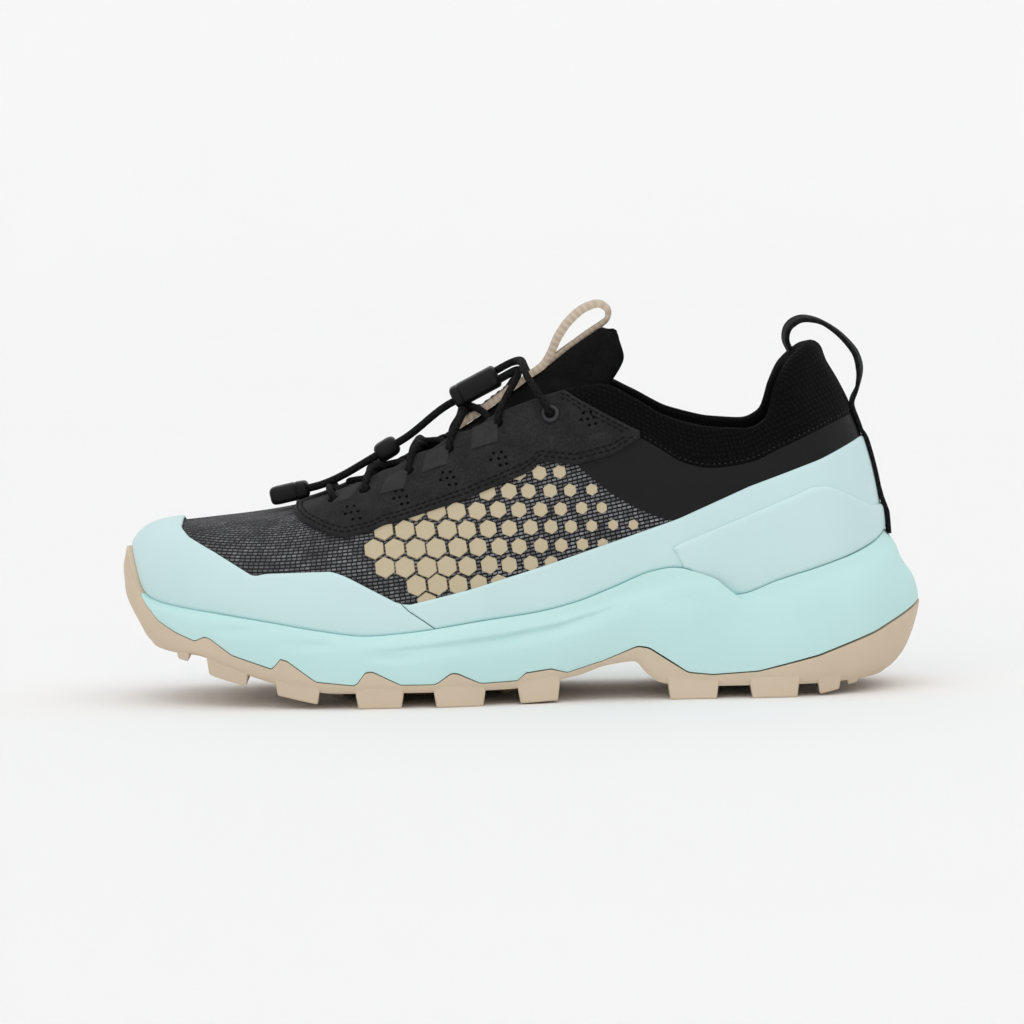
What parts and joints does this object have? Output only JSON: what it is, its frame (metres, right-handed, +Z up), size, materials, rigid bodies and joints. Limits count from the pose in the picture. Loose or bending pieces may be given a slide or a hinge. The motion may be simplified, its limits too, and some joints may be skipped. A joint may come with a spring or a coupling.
{
  "type": "hiking shoe",
  "caption": "Low hiking shoe with a hollow upper, knit collar, cord lacing with a lock, pull loops, cupped foam midsole and lugged outsole.",
  "frame": {"origin": "middle of the shoe's length and width, on the floor under its sole", "axes": "+X from toe to heel along the sole, +Y from the lateral to the medial side, +Z up"},
  "size_m": [0.28, 0.0974, 0.1362],
  "materials": {
    "outsole_rubber": "matte tan rubber",
    "midsole_foam": "smooth matte mint foam",
    "insole_cloth": "black cloth over foam",
    "upper_textile": "dark woven mesh and knit",
    "rand_film": "smooth matte mint film",
    "eyestay_microfibre": "black napped microfibre",
    "tongue_knit": "black ribbed knit",
    "tongue_tape": "tan woven tape",
    "heel_webbing": "black ribbed webbing",
    "lace_cord": "black braided cord",
    "lace_hardware": "black moulded nylon"
  },
  "bodies": {
    "root": {"outsole": "outsole_rubber", "midsole": "midsole_foam", "insole": "insole_cloth", "upper": "upper_textile", "toe_rand": "rand_film", "heel_rand": "rand_film", "heel_counter": "rand_film", "eyestay": "eyestay_microfibre", "tongue": "tongue_knit", "tongue_loop": "tongue_tape", "heel_loop": "heel_webbing", "eyelet_lateral": "lace_hardware", "eyelet_medial": "lace_hardware", "lace_crossings": "lace_cord", "lace_top_lateral": "lace_cord", "lace_top_medial": "lace_cord", "lace_tail_back_lateral": "lace_cord", "lace_tail_back_medial": "lace_cord", "lace_tail_front_lateral": "lace_cord", "lace_tail_front_medial": "lace_cord", "cord_lock": "lace_hardware", "lace_keeper": "lace_hardware", "lace_end_clip": "lace_hardware"}
  },
  "joints": []
}
